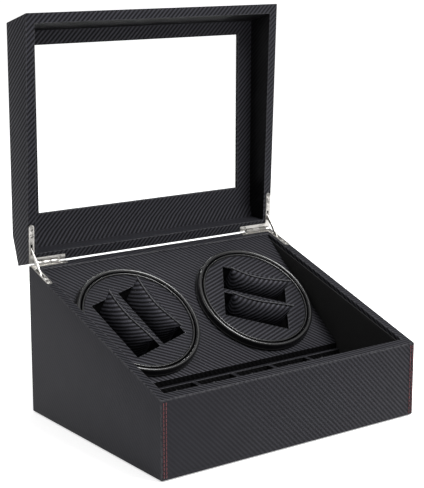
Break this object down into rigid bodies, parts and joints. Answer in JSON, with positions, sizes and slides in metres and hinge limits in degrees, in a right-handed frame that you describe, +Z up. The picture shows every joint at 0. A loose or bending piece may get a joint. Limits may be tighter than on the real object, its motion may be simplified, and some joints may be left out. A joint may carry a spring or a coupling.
{
  "type": "watch winder box",
  "caption": "Sloping leather-covered watch winder with a glazed hinged lid, belt-driven turntables and a row of storage compartments.",
  "frame": {"origin": "middle of the underside, on the felt", "axes": "+X to the right seen from the front, +Y towards the hinged back, +Z up; the lid stands open"},
  "size_m": [0.335, 0.2932, 0.441],
  "materials": {
    "twill_leather": "black synthetic leather embossed with a diagonal twill",
    "pillow_leather": "soft black twill synthetic leather",
    "lining": "matt black flocked card",
    "felt": "black felt",
    "board": "plain fibreboard",
    "gloss_plastic": "polished black",
    "matte_plastic": "fine matt black",
    "rubber": "matt black",
    "nickel_plate": "bright nickel plate",
    "steel": "plain pressed steel",
    "circuit_board": "green solder mask",
    "pane_glass": "clear float glass"
  },
  "bodies": {
    "case": {"left_side_panel": "twill_leather", "right_side_panel": "twill_leather", "case_lining": "lining", "front_panel": "twill_leather", "back_panel": "twill_leather", "bottom_panel": "board", "felt_base": "felt", "storage_tray": "twill_leather", "tray_dividers": "twill_leather", "deck_panel": "twill_leather", "drive_bracket": "steel", "left_bezel_ring": "gloss_plastic", "right_bezel_ring": "gloss_plastic", "left_bush": "matte_plastic", "right_bush": "matte_plastic", "left_drive_belt": "rubber", "right_drive_belt": "rubber", "left_motor": "steel", "right_motor": "steel", "control_plate": "matte_plastic", "dc_jack": "matte_plastic", "control_board": "circuit_board", "motor_leads": "rubber", "left_case_leaf": "nickel_plate", "right_case_leaf": "nickel_plate", "left_hinge_pin": "steel", "right_hinge_pin": "steel"},
    "lid": {"lid_left_rail": "twill_leather", "lid_right_rail": "twill_leather", "lid_front_rail": "twill_leather", "lid_rear_rail": "twill_leather", "lid_top_frame": "twill_leather", "window_pane": "pane_glass", "left_lid_leaf": "nickel_plate", "right_lid_leaf": "nickel_plate"},
    "left_stay": {"left_stay": "nickel_plate"},
    "right_stay": {"right_stay": "nickel_plate"},
    "left_turntable": {"left_turntable_tub": "matte_plastic", "left_well_cups": "matte_plastic", "left_turntable_disc": "twill_leather", "left_driven_pulley": "matte_plastic"},
    "left_motor_pulley": {"left_motor_pulley": "matte_plastic"},
    "left_watch_pillow_1": {"left_watch_pillow_1": "pillow_leather"},
    "left_watch_pillow_2": {"left_watch_pillow_2": "pillow_leather"},
    "right_turntable": {"right_turntable_tub": "matte_plastic", "right_well_cups": "matte_plastic", "right_turntable_disc": "twill_leather", "right_driven_pulley": "matte_plastic"},
    "right_motor_pulley": {"right_motor_pulley": "matte_plastic"},
    "right_watch_pillow_1": {"right_watch_pillow_1": "pillow_leather"},
    "right_watch_pillow_2": {"right_watch_pillow_2": "pillow_leather"},
    "storage_pillow_1": {"storage_pillow_1": "pillow_leather"},
    "storage_pillow_2": {"storage_pillow_2": "pillow_leather"},
    "storage_pillow_3": {"storage_pillow_3": "pillow_leather"},
    "storage_pillow_4": {"storage_pillow_4": "pillow_leather"},
    "storage_pillow_5": {"storage_pillow_5": "pillow_leather"},
    "storage_pillow_6": {"storage_pillow_6": "pillow_leather"},
    "power_rocker": {"power_rocker": "gloss_plastic"},
    "mode_knob": {"mode_knob": "gloss_plastic"}
  },
  "joints": [
    {"name": "lid_hinge", "type": "hinge", "parent": "case", "child": "lid", "pos_m": [0, 0.129, 0.16884], "axis": [1, 0, 0], "range_deg": [0, 105.7]},
    {"name": "left_stay_pivot", "type": "hinge", "parent": "lid", "child": "left_stay", "pos_m": [-0.16325, 0.13163, 0.18596], "axis": [1, 0, 0], "range_deg": [-73, 0]},
    {"name": "right_stay_pivot", "type": "hinge", "parent": "lid", "child": "right_stay", "pos_m": [0.16325, 0.13163, 0.18596], "axis": [1, 0, 0], "range_deg": [-73, 0]},
    {"name": "left_turntable_spin", "type": "hinge", "parent": "case", "child": "left_turntable", "pos_m": [-0.08, 0.04814, 0.10686], "axis": [0, -0.6225, 0.7826], "continuous": true},
    {"name": "left_motor_spin", "type": "hinge", "parent": "case", "child": "left_motor_pulley", "pos_m": [-0.032, 0.02545, 0.0888], "axis": [0, -0.6225, 0.7826], "continuous": true},
    {"name": "left_watch_pillow_1_lift", "type": "slide", "parent": "left_turntable", "child": "left_watch_pillow_1", "axis": [0, -0.6225, 0.7826], "range_m": [0, 0.033]},
    {"name": "left_watch_pillow_2_lift", "type": "slide", "parent": "left_turntable", "child": "left_watch_pillow_2", "axis": [0, -0.6225, 0.7826], "range_m": [0, 0.033]},
    {"name": "right_turntable_spin", "type": "hinge", "parent": "case", "child": "right_turntable", "pos_m": [0.08, 0.04814, 0.10686], "axis": [0, -0.6225, 0.7826], "continuous": true},
    {"name": "right_motor_spin", "type": "hinge", "parent": "case", "child": "right_motor_pulley", "pos_m": [0.032, 0.02545, 0.0888], "axis": [0, -0.6225, 0.7826], "continuous": true},
    {"name": "right_watch_pillow_1_lift", "type": "slide", "parent": "right_turntable", "child": "right_watch_pillow_1", "axis": [0, -0.6225, 0.7826], "range_m": [0, 0.033]},
    {"name": "right_watch_pillow_2_lift", "type": "slide", "parent": "right_turntable", "child": "right_watch_pillow_2", "axis": [0, -0.6225, 0.7826], "range_m": [0, 0.033]},
    {"name": "storage_pillow_1_lift", "type": "slide", "parent": "case", "child": "storage_pillow_1", "axis": [0, 0, 1], "range_m": [0, 0.05]},
    {"name": "storage_pillow_2_lift", "type": "slide", "parent": "case", "child": "storage_pillow_2", "axis": [0, 0, 1], "range_m": [0, 0.05]},
    {"name": "storage_pillow_3_lift", "type": "slide", "parent": "case", "child": "storage_pillow_3", "axis": [0, 0, 1], "range_m": [0, 0.05]},
    {"name": "storage_pillow_4_lift", "type": "slide", "parent": "case", "child": "storage_pillow_4", "axis": [0, 0, 1], "range_m": [0, 0.05]},
    {"name": "storage_pillow_5_lift", "type": "slide", "parent": "case", "child": "storage_pillow_5", "axis": [0, 0, 1], "range_m": [0, 0.05]},
    {"name": "storage_pillow_6_lift", "type": "slide", "parent": "case", "child": "storage_pillow_6", "axis": [0, 0, 1], "range_m": [0, 0.05]},
    {"name": "power_rocker_tilt", "type": "hinge", "parent": "case", "child": "power_rocker", "pos_m": [0.075, 0.1267, 0.04], "axis": [1, 0, 0], "range_deg": [0, 12]},
    {"name": "mode_knob_turn", "type": "hinge", "parent": "case", "child": "mode_knob", "pos_m": [0.095, 0.1287, 0.04], "axis": [0, 1, 0], "range_deg": [0, 120]}
  ],
  "couplings": [
    {"joint": "left_stay_pivot", "follows": "lid_hinge", "ratio": -0.68},
    {"joint": "right_stay_pivot", "follows": "lid_hinge", "ratio": -0.68},
    {"joint": "left_motor_spin", "follows": "left_turntable_spin", "ratio": 3.1429},
    {"joint": "right_motor_spin", "follows": "right_turntable_spin", "ratio": 3.1429}
  ]
}
